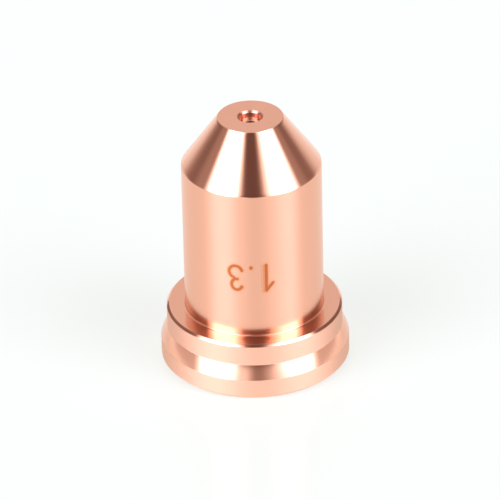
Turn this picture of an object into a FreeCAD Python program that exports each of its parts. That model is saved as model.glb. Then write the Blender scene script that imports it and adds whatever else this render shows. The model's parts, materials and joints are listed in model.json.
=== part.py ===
"""Plasma torch nozzle: one piece, turned from solid copper bar.

Millimetres. The origin is the centre of the base face, and +Z runs along the axis to the tip.
"""

import FreeCAD, Part
import math
import os

Vector = FreeCAD.Vector

# Outside, from the base up
HEIGHT = 31.3
FLANGE_RADIUS = 11.0
FLANGE_TOP_Z = 2.5
FLANGE_EDGE_BREAK = 0.4
FLARE_BULGE = 0.03
COLLAR_RADIUS = 10.25
COLLAR_BOTTOM_Z = 4.15
COLLAR_EDGE_BREAK = 0.28
SHOULDER_Z = 6.8
SHOULDER_FILLET = 0.1
BARREL_RADIUS = 8.1
BARREL_TOP_Z = 25.2
BARREL_TOP_ROUNDING = 0.3
TIP_RADIUS = 3.76
TIP_EDGE_ROUNDING = 0.1

# Outlet pocket in the tip face, and the orifice behind it
OUTLET_RADIUS = 1.26
OUTLET_RIM_CHAMFER = 0.24
OUTLET_WALL_DEPTH = 0.85
OUTLET_FLOOR_DEPTH = 0.95
ORIFICE_RADIUS = 0.65
ORIFICE_LENGTH = 2.8
ORIFICE_ENTRY_CHAMFER = 0.3

# Gas chamber that takes the electrode, and the swirl ring's seat at its mouth
CHAMBER_RADIUS = 5.8
CHAMBER_CONE_HALF_ANGLE = 40.0
CHAMBER_ROUNDING = 1.0
SEAT_RADIUS = 7.1
SEAT_DEPTH = 3.0
SEAT_MOUTH_CHAMFER = 0.5
SEAT_CORNER_ROUNDING = 0.2

# Heights that follow from the sizes above
ORIFICE_TOP_Z = HEIGHT - OUTLET_FLOOR_DEPTH
ORIFICE_BOTTOM_Z = ORIFICE_TOP_Z - ORIFICE_LENGTH
CONE_SMALL_RADIUS = ORIFICE_RADIUS + ORIFICE_ENTRY_CHAMFER
CONE_TOP_Z = ORIFICE_BOTTOM_Z - ORIFICE_ENTRY_CHAMFER
CONE_HEIGHT = (CHAMBER_RADIUS - CONE_SMALL_RADIUS) / math.tan(math.radians(CHAMBER_CONE_HALF_ANGLE))
CHAMBER_TOP_Z = CONE_TOP_Z - CONE_HEIGHT

SHARP = 0.0
TOUCHING = 1e-6


def flare_corner():
    """Corner whose rounding is the whole flare, an arc that swells a little beyond a straight cone."""
    foot = Vector(FLANGE_RADIUS, 0, FLANGE_TOP_Z)
    half_chord = (Vector(COLLAR_RADIUS, 0, COLLAR_BOTTOM_Z) - foot) / 2
    radius = (half_chord.Length**2 + FLARE_BULGE**2) / (2 * FLARE_BULGE)
    to_corner = half_chord.Length * math.tan(math.asin(half_chord.Length / radius))
    corner = foot + half_chord + Vector(half_chord.z, 0, -half_chord.x).normalize() * to_corner
    return corner.x, corner.z, radius


def outside_corners():
    """Corners of the outer outline as (radius, height, rounding), from the base face to the tip."""
    return [
        (FLANGE_RADIUS - FLANGE_EDGE_BREAK, 0.0, SHARP),
        (FLANGE_RADIUS, FLANGE_EDGE_BREAK, SHARP),
        (FLANGE_RADIUS, FLANGE_TOP_Z, SHARP),
        flare_corner(),
        (COLLAR_RADIUS, COLLAR_BOTTOM_Z, SHARP),
        (COLLAR_RADIUS, SHOULDER_Z - COLLAR_EDGE_BREAK, SHARP),
        (COLLAR_RADIUS - COLLAR_EDGE_BREAK, SHOULDER_Z, SHARP),
        (BARREL_RADIUS, SHOULDER_Z, SHOULDER_FILLET),
        (BARREL_RADIUS, BARREL_TOP_Z, BARREL_TOP_ROUNDING),
        (TIP_RADIUS, HEIGHT, TIP_EDGE_ROUNDING),
    ]


def inside_corners():
    """Corners of the inner outline as (radius, height, rounding), from the tip back to the base."""
    return [
        (OUTLET_RADIUS + OUTLET_RIM_CHAMFER, HEIGHT, SHARP),
        (OUTLET_RADIUS, HEIGHT - OUTLET_RIM_CHAMFER, SHARP),
        (OUTLET_RADIUS, HEIGHT - OUTLET_WALL_DEPTH, SHARP),
        (ORIFICE_RADIUS, ORIFICE_TOP_Z, SHARP),
        (ORIFICE_RADIUS, ORIFICE_BOTTOM_Z, SHARP),
        (CONE_SMALL_RADIUS, CONE_TOP_Z, SHARP),
        (CHAMBER_RADIUS, CHAMBER_TOP_Z, CHAMBER_ROUNDING),
        (CHAMBER_RADIUS, SEAT_DEPTH, SHARP),
        (SEAT_RADIUS, SEAT_DEPTH, SEAT_CORNER_ROUNDING),
        (SEAT_RADIUS, SEAT_MOUTH_CHAMFER, SHARP),
        (SEAT_RADIUS + SEAT_MOUTH_CHAMFER, 0.0, SHARP),
    ]


def rounded_corner(before, corner, after, radius):
    """Start, middle and end of the arc that rounds a corner between its two neighbours."""
    back = (before - corner).normalize()
    ahead = (after - corner).normalize()
    half_angle = back.getAngle(ahead) / 2
    reach = radius / math.tan(half_angle)
    to_arc = radius / math.sin(half_angle) - radius
    bisector = (back + ahead).normalize()
    return corner + back * reach, corner + bisector * to_arc, corner + ahead * reach


def half_section(corners):
    """Closed face in the XZ plane through the corners, with each rounding as a tangent arc."""
    points = [Vector(radius, 0, height) for radius, height, _ in corners]
    roundings = [rounding for _, _, rounding in corners]
    edges = []
    ends = []
    for index, point in enumerate(points):
        if roundings[index]:
            neighbours = points[index - 1], points[(index + 1) % len(points)]
            start, middle, end = rounded_corner(neighbours[0], point, neighbours[1], roundings[index])
            edges.append(Part.Arc(start, middle, end).toShape())
            ends.append((start, end))
        else:
            ends.append((point, point))
    for (_, start), (end, _) in zip(ends, ends[1:] + ends[:1]):
        if start.distanceToPoint(end) > TOUCHING:
            edges.append(Part.LineSegment(start, end).toShape())
    return Part.Face(Part.Wire(Part.__sortEdges__(edges)))


def make_nozzle():
    """The whole nozzle, as its half section turned once round the axis."""
    section = half_section(outside_corners() + inside_corners())
    return section.revolve(Vector(0, 0, 0), Vector(0, 0, 1), 360)


def main():
    os.makedirs("parts", exist_ok=True)
    nozzle = make_nozzle()
    nozzle.exportStep("parts/nozzle.step")
    print("nozzle", nozzle.ShapeType, "valid", nozzle.isValid(), "volume", round(nozzle.Volume, 1), "mm3")


main()
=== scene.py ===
"""Looks of a plasma torch nozzle: the bright turned copper body and the size mark on its barrel.

The file is laid out as a Blender add-on. One operator turns the body, one burns in the mark and one
sets the stage, and their sizes and colours are properties of the scene. Lengths are in metres.
"""

import json
import math

import bpy
from mathutils import Matrix, Vector


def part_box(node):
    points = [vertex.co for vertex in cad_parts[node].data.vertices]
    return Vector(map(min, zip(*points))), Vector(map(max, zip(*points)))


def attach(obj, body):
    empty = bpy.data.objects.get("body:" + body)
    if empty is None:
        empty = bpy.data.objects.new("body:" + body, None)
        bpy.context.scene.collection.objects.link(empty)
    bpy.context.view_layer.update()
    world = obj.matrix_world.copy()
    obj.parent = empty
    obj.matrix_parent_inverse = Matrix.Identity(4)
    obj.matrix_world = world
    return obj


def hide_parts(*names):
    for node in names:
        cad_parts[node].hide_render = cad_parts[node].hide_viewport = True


bl_info = {
    "name": "Plasma torch nozzle",
    "version": (1, 0, 0),
    "blender": (4, 5, 0),
    "location": "3D View > Sidebar > Nozzle",
    "description": "Turns a copper torch nozzle, marks its size and sets a small studio round it",
    "category": "Object",
}

MM = 0.001

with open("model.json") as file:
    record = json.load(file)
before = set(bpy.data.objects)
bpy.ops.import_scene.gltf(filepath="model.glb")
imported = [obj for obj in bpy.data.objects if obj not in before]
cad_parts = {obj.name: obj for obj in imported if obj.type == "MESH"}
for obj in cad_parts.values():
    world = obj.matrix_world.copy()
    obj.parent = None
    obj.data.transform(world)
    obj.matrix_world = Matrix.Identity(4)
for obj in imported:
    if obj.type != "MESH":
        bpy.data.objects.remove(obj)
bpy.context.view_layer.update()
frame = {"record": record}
MOUNTS = {mount["name"]: mount for mount in frame["record"]["mounts"]}


def wall_radius(name):
    """Radius of a round mount's wall."""
    return MOUNTS[name]["dims"]["r_mm"] * MM


def wall_ends(name):
    """Lowest and highest point of a round mount's wall along the axis."""
    middle = MOUNTS[name]["pos_m"][2]
    reach = MOUNTS[name]["dims"]["length_mm"] * MM / 2
    return middle - reach, middle + reach


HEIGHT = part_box("nozzle")[1][2]
FLANGE_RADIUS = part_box("nozzle")[1][0]
FLANGE_BOTTOM, FLANGE_TOP = wall_ends("flange_rim")
SHOULDER = MOUNTS["shoulder"]["pos_m"][2]
BARREL_RADIUS = wall_radius("barrel")
BARREL_BOTTOM, BARREL_TOP = wall_ends("barrel")
SEAT_RADIUS = wall_radius("swirl_ring_seat")
SEAT_BOTTOM, SEAT_TOP = wall_ends("swirl_ring_seat")
CHAMBER_RADIUS = wall_radius("chamber")
CHAMBER_BOTTOM, CHAMBER_TOP = wall_ends("chamber")
ORIFICE_RADIUS = wall_radius("orifice")
ORIFICE_BOTTOM, ORIFICE_TOP = wall_ends("orifice")


# Properties that a user would change


def length(name, default, description):
    """A length, in metres."""
    return bpy.props.FloatProperty(
        name=name, default=default, description=description, min=0.0, unit="LENGTH", precision=5
    )


def number(name, default, description):
    """A plain number."""
    return bpy.props.FloatProperty(name=name, default=default, description=description, min=0.0)


def share(name, default, description):
    """A number from nought to one."""
    return bpy.props.FloatProperty(
        name=name, default=default, description=description, min=0.0, max=1.0, subtype="FACTOR"
    )


def angle(name, default_degrees, description):
    """An angle, given in degrees and kept in radians."""
    return bpy.props.FloatProperty(
        name=name, default=math.radians(default_degrees), description=description, unit="ROTATION"
    )


def colour(name, default, description):
    """A linear colour."""
    return bpy.props.FloatVectorProperty(
        name=name, default=default, description=description, size=3, min=0.0, max=1.0, subtype="COLOR"
    )


class BodySizes(bpy.types.PropertyGroup):
    """Sizes of the turned body that the frame's mounts don't give."""

    collar_radius: length("Collar radius", 10.25 * MM, "Radius of the collar above the flange")
    collar_bottom: length("Collar bottom", 4.15 * MM, "Height at which the flare meets the collar")
    collar_edge: length("Collar edge", 0.28 * MM, "Chamfer round the collar's upper edge")
    flare_bulge: length("Flare bulge", 0.03 * MM, "How far the flare swells beyond a straight cone")
    tip_radius: length("Tip radius", 3.76 * MM, "Radius of the tip face")
    tip_edge: length("Tip edge", 0.1 * MM, "Rounding of the edge round the tip face")
    outlet_radius: length("Outlet radius", 1.26 * MM, "Radius of the pocket in the tip face")
    outlet_rim: length("Outlet rim", 0.24 * MM, "Chamfer round the pocket's mouth")
    outlet_depth: length("Outlet depth", 0.85 * MM, "Depth of the pocket's straight wall")
    cone_edge: length("Cone edge", 0.3 * MM, "Rounding where the barrel meets the cone")
    foot_fillet: length("Foot fillet", 0.1 * MM, "Fillet at the foot of the barrel")
    sharp_edge: length("Sharp edge", 0.02 * MM, "Rounding that turning leaves on any other edge")


class Finish(bpy.types.PropertyGroup):
    """Colour and surface of the copper."""

    copper: colour("Copper", (0.92, 0.475, 0.33), "Colour of clean bright copper")
    dull_copper: colour("Dull copper", (0.86, 0.545, 0.38), "Colour of the collar and the flange")
    # Painted shade: the pocket's copper is darker than the rest, standing in for the shade that falls
    # into the recess
    pocket_copper_painted_shade: colour("Pocket copper", (0.72, 0.38, 0.26), "Colour of the pocket in the tip face")
    bright_roughness: share("Bright roughness", 0.15, "Roughness of the cone, flare and shoulder")
    barrel_roughness: share("Barrel roughness", 0.25, "Roughness of the barrel")
    foot_polish: length("Foot polish", 1.5 * MM, "Height over which the barrel's foot turns satin")
    mark_lay: angle("Mark lay", 4.5, "How far the turning marks on the barrel lean upward")
    rim_roughness: share("Rim roughness", 0.68, "Roughness of the collar and the flange")
    face_roughness: share("Face roughness", 0.3, "Roughness of the tip face")
    pocket_roughness: share("Pocket roughness", 0.3, "Roughness of the pocket in the tip face")
    grain: share("Grain", 0.6, "How much more the turning marks blur along the axis than round it")
    mark_pitch: length("Mark pitch", 0.06 * MM, "Spacing of the turning marks")
    mark_depth: length("Mark depth", 0.0002 * MM, "Depth of the turning marks")


class SizeMark(bpy.types.PropertyGroup):
    """The orifice size burnt into the barrel."""

    baseline: length("Baseline", 16.12 * MM, "Height of the line on which the numerals stand, tip down")
    height: length("Numeral height", 3.16 * MM, "Height of the numerals")
    stroke: length("Stroke", 0.36 * MM, "Width of a burnt stroke")
    halo: length("Halo", 0.25 * MM, "How far the heat tint spreads beside a stroke")
    thickness: length("Thickness", 0.005 * MM, "Thickness of the oxide, half of it let in")
    faint: share("Faint stroke", 0.66, "Strength of the second, fainter pass along the stem")
    burnt: colour("Burnt", (0.43, 0.115, 0.028), "Colour of the burnt strokes")
    warm: colour("Warm", (0.92, 0.42, 0.23), "Colour of the heat tint round them")
    roughness: share("Burnt roughness", 0.35, "Roughness of the burnt strokes")
    dullness: share("Dullness", 0.5, "How far the burnt strokes lose the look of metal")


class Studio(bpy.types.PropertyGroup):
    """Camera, floor and light."""

    camera_distance: length("Camera distance", 0.6, "From the camera to the nozzle's foot")
    camera_height: angle("Camera height", 30.596, "How far the camera looks down")
    camera_up: length("Camera up", 11.66 * MM, "How far the camera is raised across its line of sight")
    camera_left: length("Camera left", 0.379 * MM, "How far the camera is shifted to the left")
    camera_roll: angle("Camera roll", 1.356, "How far the camera is turned clockwise")
    lens: number("Lens", 367.97, "Focal length in millimetres on a 36 mm sensor")
    floor: colour("Floor", (0.2, 0.245, 0.2), "Colour of the floor")
    floor_reach: length("Floor reach", 0.25, "How far the floor spreads from the nozzle")
    table: number("Light table", 0.64, "Brightness of the lamp under the floor")
    softbox: number("Softbox", 6.1, "Brightness of the two softboxes")
    backdrop: number("Backdrop", 1.1, "Brightness of the backdrop that the camera sees")


# Node trees


class Socket:
    """An output socket that takes Python's operators and adds the Math nodes that they stand for."""

    def __init__(self, graph, socket):
        self.graph = graph
        self.socket = socket

    def math(self, operation, *others):
        """This value and the others through one Math node."""
        values = dict(enumerate((self, *others)))
        return self.graph.node("ShaderNodeMath", {"operation": operation}, values)

    def __add__(self, other):
        return self.math("ADD", other)

    def __sub__(self, other):
        return self.math("SUBTRACT", other)

    def __rsub__(self, other):
        return self.graph.node("ShaderNodeMath", {"operation": "SUBTRACT"}, {0: other, 1: self})

    def __mul__(self, other):
        return self.math("MULTIPLY", other)

    def __truediv__(self, other):
        return self.math("DIVIDE", other)

    def __neg__(self):
        return self.math("MULTIPLY", -1.0)

    __radd__ = __add__
    __rmul__ = __mul__

    def rise(self, start, width):
        """Nought below start, one above start + width, and a smooth step between."""
        values = {"Value": self, "From Min": start, "From Max": start + width}
        return self.graph.node("ShaderNodeMapRange", {"interpolation_type": "SMOOTHSTEP"}, values)

    def between(self, low, high, edge):
        """One between low and high, with soft edges of the width given, and nought elsewhere."""
        return self.rise(low - edge / 2, edge) - self.rise(high - edge / 2, edge)


class Graph:
    """A node tree with one method that adds any node."""

    def __init__(self, tree):
        self.tree = tree
        self.tree.nodes.clear()

    def node(self, kind, settings=None, values=None, output=0):
        """Adds a node, makes its settings, fills or links its sockets and returns one output."""
        node = self.tree.nodes.new(kind)
        for name, setting in (settings or {}).items():
            setattr(node, name, setting)
        for name, value in (values or {}).items():
            for source in value if isinstance(value, list) else [value]:
                if isinstance(source, Socket):
                    self.tree.links.new(source.socket, node.inputs[name])
                else:
                    node.inputs[name].default_value = source
        return Socket(self, node.outputs[output]) if node.outputs else None

    def vector(self, x, y, z=0.0):
        """A vector from three values."""
        return self.node("ShaderNodeCombineXYZ", values={"X": x, "Y": y, "Z": z})

    def mix(self, factor, first, second):
        """A colour between two others."""
        values = {0: factor, 6: first, 7: second}
        return self.node("ShaderNodeMix", {"data_type": "RGBA"}, values, 2)

    def parts(self, vector):
        """The three values of a vector."""
        node = self.tree.nodes.new("ShaderNodeSeparateXYZ")
        self.tree.links.new(vector.socket, node.inputs["Vector"])
        return tuple(Socket(self, output) for output in node.outputs)


class GeometryGraph(Graph):
    """A geometry node tree with named inputs and one geometry output."""

    def __init__(self, name, inputs):
        super().__init__(bpy.data.node_groups.new(name, "GeometryNodeTree"))
        self.tree.interface.new_socket("Geometry", in_out="OUTPUT", socket_type="NodeSocketGeometry")
        for label, kind in inputs.items():
            self.tree.interface.new_socket(label, in_out="INPUT", socket_type="NodeSocket" + kind)

    def input(self, label):
        """One of the tree's own inputs."""
        return self.node("NodeGroupInput", output=label)

    def attribute(self, name):
        """A number that each point carries under a name."""
        return self.node("GeometryNodeInputNamedAttribute", {"data_type": "FLOAT"}, {"Name": name})

    def store(self, geometry, name, value):
        """The geometry with a number kept on each point under a name."""
        values = {"Geometry": geometry, "Name": name, "Value": value}
        return self.node("GeometryNodeStoreNamedAttribute", {"data_type": "FLOAT"}, values)

    def finish(self, geometry, material):
        """Ends the tree with real geometry in its material."""
        real = self.node("GeometryNodeRealizeInstances", values={"Geometry": geometry})
        values = {"Geometry": real, "Material": material}
        self.node("NodeGroupOutput", values={0: self.node("GeometryNodeSetMaterial", values=values)})


def apply_tree(piece, graph, inputs):
    """Runs a geometry node tree on a piece and leaves a plain mesh, with no modifier."""
    modifier = piece.modifiers.new(graph.tree.name, "NODES")
    modifier.node_group = graph.tree
    for item in graph.tree.interface.items_tree:
        if item.in_out == "INPUT" and item.name in inputs:
            modifier[item.identifier] = inputs[item.name]
    depsgraph = bpy.context.evaluated_depsgraph_get()
    depsgraph.update()
    mesh = bpy.data.meshes.new_from_object(piece.evaluated_get(depsgraph), depsgraph=depsgraph)
    piece.modifiers.remove(modifier)
    piece.data = mesh


def new_piece(name, points, edges, numbers):
    """A mesh of points and edges at the origin, with one named number on each point."""
    mesh = bpy.data.meshes.new(name)
    mesh.from_pydata(points, edges, [])
    for label, values in numbers.items():
        mesh.attributes.new(label, "FLOAT", "POINT").data.foreach_set("value", values)
    piece = bpy.data.objects.new(name, mesh)
    bpy.context.scene.collection.objects.link(piece)
    return piece


# Turned body

SEGMENTS = 280
ROUNDING_STEPS = 5
RING_SPACING = 0.3 * MM

ORIFICE_ENTRY = 0.3 * MM
CHAMBER_ROUNDING = 1.0 * MM

# Share of its radius by which the rounding between barrel and cone reaches down from their corner
CONE_CORNER_REACH = 0.3


def section_corners(sizes):
    """Corners of the half section as (radius, height, rounding), down the outside and up the bore."""
    sharp = sizes.sharp_edge
    barrel_corner = BARREL_TOP + sizes.cone_edge * CONE_CORNER_REACH
    seat_mouth = SEAT_BOTTOM
    cone_top = ORIFICE_BOTTOM - ORIFICE_ENTRY
    cone_small = ORIFICE_RADIUS + ORIFICE_ENTRY
    half_turn = math.atan((CHAMBER_RADIUS - cone_small) / (cone_top - CHAMBER_TOP)) / 2
    chamber_corner = CHAMBER_TOP + CHAMBER_ROUNDING * math.tan(half_turn)
    flare_top = Vector((sizes.collar_radius, sizes.collar_bottom))
    flare = Vector((FLANGE_RADIUS, FLANGE_TOP)) - flare_top
    swell = flare_top + flare / 2 + Vector((-flare.y, flare.x)).normalized() * 2 * sizes.flare_bulge
    return [
        (sizes.outlet_radius + sizes.outlet_rim, HEIGHT, sharp),
        (sizes.tip_radius, HEIGHT, sizes.tip_edge),
        (BARREL_RADIUS, barrel_corner, sizes.cone_edge),
        (BARREL_RADIUS, SHOULDER, sizes.foot_fillet),
        (sizes.collar_radius - sizes.collar_edge, SHOULDER, sharp),
        (sizes.collar_radius, SHOULDER - sizes.collar_edge, sharp),
        (*flare_top, 0.0),
        (*swell, flare.length_squared / (8 * sizes.flare_bulge)),
        (FLANGE_RADIUS, FLANGE_TOP, 0.0),
        (FLANGE_RADIUS, FLANGE_BOTTOM, sharp),
        (FLANGE_RADIUS - FLANGE_BOTTOM, 0.0, sharp),
        (SEAT_RADIUS + seat_mouth, 0.0, sharp),
        (SEAT_RADIUS, seat_mouth, sharp),
        (SEAT_RADIUS, CHAMBER_BOTTOM, CHAMBER_BOTTOM - SEAT_TOP),
        (CHAMBER_RADIUS, CHAMBER_BOTTOM, sharp),
        (CHAMBER_RADIUS, chamber_corner, CHAMBER_ROUNDING),
        (cone_small, cone_top, sharp),
        (ORIFICE_RADIUS, ORIFICE_BOTTOM, sharp),
        (ORIFICE_RADIUS, ORIFICE_TOP, sharp),
        (sizes.outlet_radius, HEIGHT - sizes.outlet_depth, sharp),
        (sizes.outlet_radius, HEIGHT - sizes.outlet_rim, sharp),
    ]


def lathe_graph():
    """Geometry nodes that round a half section's corners, ring it and turn it about the axis."""
    graph = GeometryGraph(
        "Lathe",
        {
            "Half section": "Geometry",
            "Path radius": "Float",
            "Segments": "Int",
            "Rounding steps": "Int",
            "Ring spacing": "Float",
            "Material": "Material",
        },
    )
    section = graph.node("GeometryNodeMeshToCurve", values={"Mesh": graph.input("Half section")})
    rounded = graph.node(
        "GeometryNodeFilletCurve",
        {"mode": "POLY"},
        {
            "Curve": section,
            "Count": graph.input("Rounding steps"),
            "Radius": graph.attribute("rounding"),
            "Limit Radius": True,
        },
    )
    here = graph.node("GeometryNodeInputPosition")
    next_point = graph.node(
        "GeometryNodeOffsetPointInCurve", values={"Offset": 1}, output="Point Index"
    )
    ahead = graph.node(
        "GeometryNodeFieldAtIndex",
        {"data_type": "FLOAT_VECTOR", "domain": "POINT"},
        {"Value": here, "Index": next_point},
    )
    gap = graph.node("ShaderNodeVectorMath", {"operation": "DISTANCE"}, {0: here, 1: ahead}, "Value")
    cuts = gap / graph.input("Ring spacing")
    ringed = graph.node("GeometryNodeSubdivideCurve", values={"Curve": rounded, "Cuts": cuts})
    across, _, up = graph.parts(here)
    from_path = graph.vector(across - graph.input("Path radius"), -up)
    profile = graph.node("GeometryNodeSetPosition", values={"Geometry": ringed, "Position": from_path})
    path = graph.node(
        "GeometryNodeCurvePrimitiveCircle",
        {"mode": "RADIUS"},
        {"Resolution": graph.input("Segments"), "Radius": graph.input("Path radius")},
    )
    turned = graph.node("GeometryNodeCurveToMesh", values={"Curve": path, "Profile Curve": profile})
    smooth = graph.node("GeometryNodeSetShadeSmooth", values={"Geometry": turned})
    graph.finish(smooth, graph.input("Material"))
    return graph


# Softness of the borders between finishes, and how much and how finely the roughness wanders
BORDER = 0.1 * MM
ROUGHNESS_SWING = 0.04
ROUGHNESS_PATCH = 4 * MM

# Share of a full turn that lays the blur of the turning marks along the axis
QUARTER_TURN = 0.25


def turned_copper(graph, finish, sizes):
    """Values of the shader for bright turned copper: fine rings, satin on the straight walls, and
    painted shade in the pocket of the tip face.
    """
    place = graph.node("ShaderNodeTexCoord", output="Object")
    x, y, z = graph.parts(place)
    radius = (x * x + y * y).math("SQRT")
    rings = graph.node(
        "ShaderNodeTexNoise",
        {"noise_dimensions": "2D"},
        {"Vector": graph.vector(radius, z), "Scale": 1 / finish.mark_pitch, "Detail": 3.0},
    )
    broad = graph.node(
        "ShaderNodeTexNoise",
        {"noise_dimensions": "3D"},
        {"Vector": place, "Scale": 1 / ROUGHNESS_PATCH, "Detail": 2.0},
    )
    collar_top = SHOULDER - sizes.collar_edge
    barrel = z.rise(BARREL_BOTTOM, finish.foot_polish) - z.rise(BARREL_TOP - BORDER / 2, BORDER)
    flange = 1.0 - z.rise(FLANGE_TOP - BORDER / 2, BORDER)
    rims = z.between(sizes.collar_bottom, collar_top, BORDER) + flange
    face = z.rise(HEIGHT - BORDER, BORDER / 2)
    pocket = 1.0 - radius.rise(sizes.outlet_radius + sizes.outlet_rim, BORDER / 2)
    roughness = (
        finish.bright_roughness
        + barrel * (finish.barrel_roughness - finish.bright_roughness)
        + rims * (finish.rim_roughness - finish.bright_roughness)
        + face * (finish.face_roughness - finish.bright_roughness)
        + pocket * (finish.pocket_roughness - finish.bright_roughness)
        + (broad - 0.5) * ROUGHNESS_SWING
    )
    straight = graph.node("ShaderNodeNewGeometry", output="Normal")
    lean = graph.vector(0.0, 0.0, barrel * math.tan(finish.mark_lay))
    leaning = graph.node("ShaderNodeVectorMath", {"operation": "ADD"}, {0: straight, 1: lean})
    bump = graph.node(
        "ShaderNodeBump",
        values={"Strength": 1.0, "Distance": finish.mark_depth, "Height": rings, "Normal": leaning},
    )
    outside = graph.mix(rims, (*finish.copper, 1.0), (*finish.dull_copper, 1.0))
    return {
        # Painted shade: inside the pocket the copper turns darker, for the shade in the recess
        "Base Color": graph.mix(pocket, outside, (*finish.pocket_copper_painted_shade, 1.0)),
        "Metallic": 1.0,
        "Roughness": roughness,
        "Anisotropic": finish.grain,
        "Anisotropic Rotation": QUARTER_TURN,
        "Normal": bump,
    }


def new_material(name):
    """A material and the graph of its nodes."""
    material = bpy.data.materials.new(name)
    material.use_nodes = True
    return material, Graph(material.node_tree)


def finish_material(graph, values):
    """Ends a material with one Principled shader."""
    surface = graph.node("ShaderNodeBsdfPrincipled", values=values)
    graph.node("ShaderNodeOutputMaterial", values={"Surface": surface})


def copper_material(finish, sizes):
    """The body's copper."""
    material, graph = new_material("Turned copper")
    finish_material(graph, turned_copper(graph, finish, sizes))
    return material


def burnt_material(finish, sizes, mark):
    """Copper that turns warm and then red-brown where the mark's strokes burnt it."""
    material, graph = new_material("Burnt copper")
    values = turned_copper(graph, finish, sizes)
    burn = graph.node("ShaderNodeAttribute", {"attribute_name": "burn"}, output="Fac")
    warmed = graph.mix(burn.rise(0.0, 0.5), (*finish.copper, 1.0), (*mark.warm, 1.0))
    oxide = burn.rise(0.35, 0.65)
    values["Base Color"] = graph.mix(oxide, warmed, (*mark.burnt, 1.0))
    values["Roughness"] = values["Roughness"] + burn * (mark.roughness - finish.barrel_roughness)
    values["Metallic"] = 1.0 - oxide * mark.dullness
    finish_material(graph, values)
    return material


class TurnBody(bpy.types.Operator):
    """Turn the nozzle's body from its half section"""

    bl_idname = "nozzle.turn_body"
    bl_label = "Turn body"

    def execute(self, context):
        sizes = context.scene.nozzle_body
        corners = section_corners(sizes)
        points = [(radius, 0.0, height) for radius, height, _ in corners]
        edges = [(index, (index + 1) % len(points)) for index in range(len(points))]
        roundings = [rounding for _, _, rounding in corners]
        body = new_piece("turned_body", points, edges, {"rounding": roundings})
        apply_tree(
            body,
            lathe_graph(),
            {
                "Path radius": FLANGE_RADIUS,
                "Segments": SEGMENTS,
                "Rounding steps": ROUNDING_STEPS,
                "Ring spacing": RING_SPACING,
                "Material": copper_material(context.scene.nozzle_finish, sizes),
            },
        )
        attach(body, "root")
        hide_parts("nozzle")
        return {"FINISHED"}


# Size mark

# Steps along a curved stroke
STROKE_STEPS = 14

# The sheet that carries the film: how many numeral heights it is wide, and its points per stroke width
SHEET_HEIGHTS = 3
POINTS_PER_STROKE = 7

# Burn below which there is no film, and the share of its thickness that the film has there
LEAST_BURN = 0.001
LEAST_THICKNESS = 0.25

# Distance below which two points of the film are made one
WELD = 1e-7


def arc(across, up, half_width, half_height, first_degrees, last_degrees):
    """Points along part of an ellipse."""
    turns = [
        math.radians(first_degrees + (last_degrees - first_degrees) * step / STROKE_STEPS)
        for step in range(STROKE_STEPS + 1)
    ]
    return [(across + half_width * math.cos(turn), up + half_height * math.sin(turn)) for turn in turns]


def numeral_strokes():
    """Centre lines of the numerals "1.3" for a height of one, as the strong strokes and the faint ones.

    The baseline is at nought and the nozzle is held tip down. The stem was burnt twice, and its second
    pass lies a little to the side.
    """
    upper_bowl = arc(0.633, 0.775, 0.196, 0.228, 157, -97)
    lower_bowl = [(0.7, 0.55), *arc(0.675, 0.247, 0.24, 0.247, 72, -165)]
    point = [(0.102, 0.05), (0.102, 0.075)]
    one = [(-0.7, 0.74), (-0.452, 1.04), (-0.452, -0.03)]
    second_pass = [(-0.38, 1.06), (-0.38, 0.0)]
    return [upper_bowl, lower_bowl, point, one], [second_pass]


def burn_strength(graph, faint):
    """One on the strong or the faint strokes, falling to nought at the edge of their halo."""
    of_kind = (graph.attribute("faint") - faint).math("ABSOLUTE").math("LESS_THAN", 0.5)
    kind = graph.node(
        "GeometryNodeSeparateGeometry",
        {"domain": "EDGE"},
        {"Geometry": graph.input("Strokes"), "Selection": of_kind},
    )
    away = graph.node("GeometryNodeProximity", {"target_element": "EDGES"}, {0: kind}, "Distance")
    full = graph.input("Stroke") / 4
    fade = full + graph.input("Halo")
    return 1.0 - ((away - full) / fade).math("MAXIMUM", 0.0).math("MINIMUM", 1.0)


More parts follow.
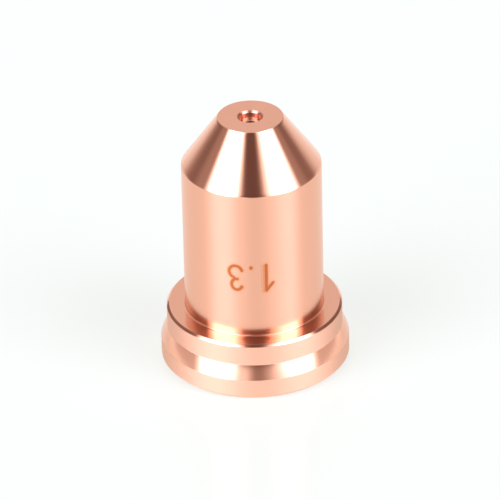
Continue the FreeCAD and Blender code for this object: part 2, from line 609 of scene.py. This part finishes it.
def mark_graph():
    """Geometry nodes that lay a thin film along strokes on a flat sheet and wrap it round the barrel."""
    graph = GeometryGraph(
        "Burnt mark",
        {
            "Strokes": "Geometry",
            "Stroke": "Float",
            "Halo": "Float",
            "Faint": "Float",
            "Thickness": "Float",
            "Sheet size": "Float",
            "Spacing": "Float",
            "Barrel radius": "Float",
            "Baseline": "Float",
            "Material": "Material",
        },
    )
    size = graph.input("Sheet size")
    count = size / graph.input("Spacing")
    sheet = graph.node(
        "GeometryNodeMeshGrid",
        values={"Size X": size, "Size Y": size, "Vertices X": count, "Vertices Y": count},
    )
    faint_burn = burn_strength(graph, 1.0) * graph.input("Faint")
    marked = graph.store(sheet, "burn", burn_strength(graph, 0.0).math("MAXIMUM", faint_burn))
    bare = graph.attribute("burn").math("LESS_THAN", LEAST_BURN)
    film = graph.node(
        "GeometryNodeDeleteGeometry", {"domain": "FACE"}, {"Geometry": marked, "Selection": bare}
    )
    thickness = graph.input("Thickness")
    raised = graph.node(
        "GeometryNodeExtrudeMesh",
        {"mode": "FACES"},
        {
            "Mesh": film,
            "Offset": graph.vector(0.0, 0.0, 1.0),
            "Offset Scale": thickness,
            "Individual": False,
        },
    )
    back = graph.node("GeometryNodeFlipFaces", values={"Mesh": film})
    both = graph.node("GeometryNodeJoinGeometry", values={"Geometry": [raised, back]})
    closed = graph.node("GeometryNodeMergeByDistance", values={"Geometry": both, "Distance": WELD})
    across, up, out = graph.parts(graph.node("GeometryNodeInputPosition"))
    barrel_radius = graph.input("Barrel radius")
    turn = -across / barrel_radius
    height = graph.input("Baseline") - up
    radius = barrel_radius + out * (graph.attribute("burn") + LEAST_THICKNESS) - thickness / 2
    place = graph.vector(radius * turn.math("SINE"), -radius * turn.math("COSINE"), height)
    facing = graph.parts(graph.node("GeometryNodeInputNormal"))[2].math("GREATER_THAN", 0.5)
    smooth = graph.node(
        "GeometryNodeSetShadeSmooth", values={"Geometry": closed, "Selection": facing}
    )
    wrapped = graph.node("GeometryNodeSetPosition", values={"Geometry": smooth, "Position": place})
    graph.finish(wrapped, graph.input("Material"))
    return graph


class MarkSize(bpy.types.Operator):
    """Burn the orifice size into the barrel"""

    bl_idname = "nozzle.mark_size"
    bl_label = "Mark size"

    def execute(self, context):
        scene = context.scene
        mark = scene.nozzle_mark
        points, edges, faint = [], [], []
        for kind, strokes in enumerate(numeral_strokes()):
            for stroke in strokes:
                first = len(points)
                points += [(across * mark.height, up * mark.height, 0.0) for across, up in stroke]
                edges += [(index, index + 1) for index in range(first, len(points) - 1)]
                faint += [float(kind)] * len(stroke)
        piece = new_piece("size_mark", points, edges, {"faint": faint})
        apply_tree(
            piece,
            mark_graph(),
            {
                "Stroke": mark.stroke,
                "Halo": mark.halo,
                "Faint": mark.faint,
                "Thickness": mark.thickness,
                "Sheet size": mark.height * SHEET_HEIGHTS,
                "Spacing": mark.stroke / POINTS_PER_STROKE,
                "Barrel radius": BARREL_RADIUS,
                "Baseline": mark.baseline,
                "Material": burnt_material(scene.nozzle_finish, scene.nozzle_body, mark),
            },
        )
        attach(piece, "root")
        return {"FINISHED"}


# Stage

# Powers of the brightness, below one and above it, that tint green and blue and make dim places warm
TINTS = {"Green": (0.25, -0.06), "Blue": (0.3, 0.08)}

# Cards hung round the nozzle, each laid over those before it: brightness, then left, right, bottom and
# top edge. Directions are in degrees: azimuth from the camera towards +X, elevation from the floor. An
# edge is (place, softness, slope), where slope is how far it moves for each degree along it. The two
# softboxes take their brightness from the studio's settings.
ROOM = 0.24
AS_SET = None

CARDS = {
    "low wall on the left": (0.74, (-200, 2, 0), (-60, 2, 0), (-20, 2, 0), (43.2, 5, 0.31)),
    "low wall on the right": (0.76, (60, 2, 0), (200, 2, 0), (-20, 2, 0), (46.5, 6, -0.33)),
    "low wall behind on the left": (1.0, (-200, 2, 0), (-118, 12, 0), (-20, 2, 0), (43.2, 6, 0.31)),
    "low wall behind on the right": (1.0, (118, 12, 0), (200, 2, 0), (-20, 2, 0), (48, 6, -0.33)),
    "left wall": (0.84, (-200, 2, 0), (-124, 44, 0), (90, 6, 0.55), (65, 8, 0)),
    "right wall": (0.82, (137, 36, 0), (200, 2, 0), (90, 6, -0.55), (65, 8, 0)),
    "left curtain": (0.42, (-104, 20, 0), (-70, 2, 0), (16, 4, 0), (27, 5, 0)),
    "right curtain": (0.42, (70, 2, 0), (100, 14, 0), (16, 4, 0), (27, 5, 0)),
    "dark gap": (0.155, (-34, 2, 0), (48, 2, 0), (10, 4, 0), (70, 8, 0)),
    "tripod": (0.4, (-34, 2, 0), (48, 2, 0), (-20, 2, 0), (24, 4, 0)),
    "pale left of the tripod": (1.3, (-36, 4, 0), (-7.6, 16, 0), (-20, 2, 0), (23, 4, 0)),
    "pale right of the tripod": (1.2, (16, 24, 0), (48, 4, 0), (-20, 2, 0), (23, 4, 0)),
    "left softbox": (AS_SET, (-63, 24, -0.45), (-32, 30, 0.1), (1, 3, 0), (58.5, 8, 0)),
    "right softbox": (AS_SET, (45, 46, -0.25), (66, 24, 0.4), (1, 3, 0), (58.5, 8, 0)),
    "depth of the gap": (0.1, (-22, 8, 0), (24, 8, 0), (25, 6, 0), (36, 4, 0)),
    "light overhead": (1.2, (-200, 2, 0), (200, 2, 0), (74, 8, 0), (95, 2, 0)),
}


def past(position, other, edge):
    """Nought before an edge and one past it; other is the position along the edge."""
    place, softness, slope = edge
    return (position - other * slope if slope else position).rise(place - softness / 2, softness)


def lay_card(level, azimuth, elevation, card, brightness):
    """The brightness of the surroundings with one more card laid over them."""
    left, right, bottom, top = card
    across = past(azimuth, elevation, left) - past(azimuth, elevation, right)
    upward = past(elevation, azimuth, bottom) - past(elevation, azimuth, top)
    return level + (brightness - level) * (across * upward)


def set_surroundings(studio):
    """Two softboxes beside the camera in a dim warm room with pale walls, and white for the camera."""
    world = bpy.data.worlds.new("Studio")
    bpy.context.scene.world = world
    world.use_nodes = True
    graph = Graph(world.node_tree)
    direction = graph.node("ShaderNodeTexCoord", output="Generated")
    unit = graph.node("ShaderNodeVectorMath", {"operation": "NORMALIZE"}, {0: direction})
    x, y, z = graph.parts(unit)
    azimuth = x.math("ARCTAN2", -y).math("DEGREES")
    elevation = z.math("ARCSINE").math("DEGREES")
    level = ROOM
    for brightness, *card in CARDS.values():
        if brightness is AS_SET:
            brightness = studio.softbox
        level = lay_card(level, azimuth, elevation, card, brightness)
    shade = level.math("MINIMUM", 1.0)
    glare = level.math("MAXIMUM", 1.0)
    colours = {"Red": level}
    for name, (dim_power, glare_power) in TINTS.items():
        colours[name] = level * shade.math("POWER", dim_power) * glare.math("POWER", glare_power)
    seen = graph.node("ShaderNodeLightPath", output="Is Camera Ray")
    glow = graph.node("ShaderNodeCombineColor", values=colours)
    backdrop = (studio.backdrop, studio.backdrop, studio.backdrop, 1.0)
    light = graph.node("ShaderNodeBackground", values={"Color": graph.mix(seen, glow, backdrop)})
    graph.node("ShaderNodeOutputWorld", values={"Surface": light})


def lay_floor(studio):
    """A wide floor of frosted glass, lit from below."""
    material, graph = new_material("Floor")
    finish_material(
        graph,
        {
            "Base Color": (*studio.floor, 1.0),
            "Roughness": 0.2,
            "Specular IOR Level": 0.1,
            "Emission Color": (1.0, 1.0, 1.0, 1.0),
            "Emission Strength": studio.table,
        },
    )
    reach = studio.floor_reach
    corners = [(-reach, -reach, 0.0), (reach, -reach, 0.0), (reach, reach, 0.0), (-reach, reach, 0.0)]
    mesh = bpy.data.meshes.new("floor")
    mesh.from_pydata(corners, [], [(0, 1, 2, 3)])
    mesh.materials.append(material)
    floor = bpy.data.objects.new("floor", mesh)
    bpy.context.scene.collection.objects.link(floor)


def place_camera(studio):
    """A long lens that looks down on the nozzle from the front."""
    data = bpy.data.cameras.new("Camera")
    data.lens = studio.lens
    data.sensor_width = 36.0
    data.clip_start = 0.01
    camera = bpy.data.objects.new("Camera", data)
    down = studio.camera_height
    ahead = Vector((0.0, math.cos(down), -math.sin(down)))
    above = Vector((0.0, math.sin(down), math.cos(down)))
    place = above * studio.camera_up - ahead * studio.camera_distance
    place.x -= studio.camera_left
    tilt = Matrix.Rotation(math.pi / 2 - down, 4, "X") @ Matrix.Rotation(-studio.camera_roll, 4, "Z")
    camera.matrix_world = Matrix.Translation(place) @ tilt
    bpy.context.scene.collection.objects.link(camera)
    bpy.context.scene.camera = camera


class SetStage(bpy.types.Operator):
    """Lay the floor, hang the lights and place the camera"""

    bl_idname = "nozzle.set_stage"
    bl_label = "Set stage"

    def execute(self, context):
        studio = context.scene.nozzle_studio
        set_surroundings(studio)
        lay_floor(studio)
        place_camera(studio)
        context.scene.view_settings.view_transform = "Standard"
        return {"FINISHED"}


class NozzlePanel(bpy.types.Panel):
    """The nozzle's settings and its operators"""

    bl_idname = "VIEW3D_PT_nozzle"
    bl_label = "Nozzle"
    bl_space_type = "VIEW_3D"
    bl_region_type = "UI"
    bl_category = "Nozzle"

    def draw(self, context):
        for group_name, operator in STEPS:
            box = self.layout.box()
            group = getattr(context.scene, group_name)
            for name in group.__annotations__:
                box.prop(group, name)
            if operator:
                box.operator(operator)


GROUPS = {
    "nozzle_body": BodySizes,
    "nozzle_finish": Finish,
    "nozzle_mark": SizeMark,
    "nozzle_studio": Studio,
}
STEPS = [
    ("nozzle_finish", None),
    ("nozzle_body", TurnBody.bl_idname),
    ("nozzle_mark", MarkSize.bl_idname),
    ("nozzle_studio", SetStage.bl_idname),
]
CLASSES = [*GROUPS.values(), TurnBody, MarkSize, SetStage, NozzlePanel]


def register():
    for item in CLASSES:
        bpy.utils.register_class(item)
    for name, group in GROUPS.items():
        setattr(bpy.types.Scene, name, bpy.props.PointerProperty(type=group))


def unregister():
    for name in GROUPS:
        delattr(bpy.types.Scene, name)
    for item in reversed(CLASSES):
        bpy.utils.unregister_class(item)


def main():
    """Makes every piece and the stage."""
    register()
    bpy.ops.nozzle.turn_body()
    bpy.ops.nozzle.mark_size()
    bpy.ops.nozzle.set_stage()


if __name__ == "__main__":
    main()
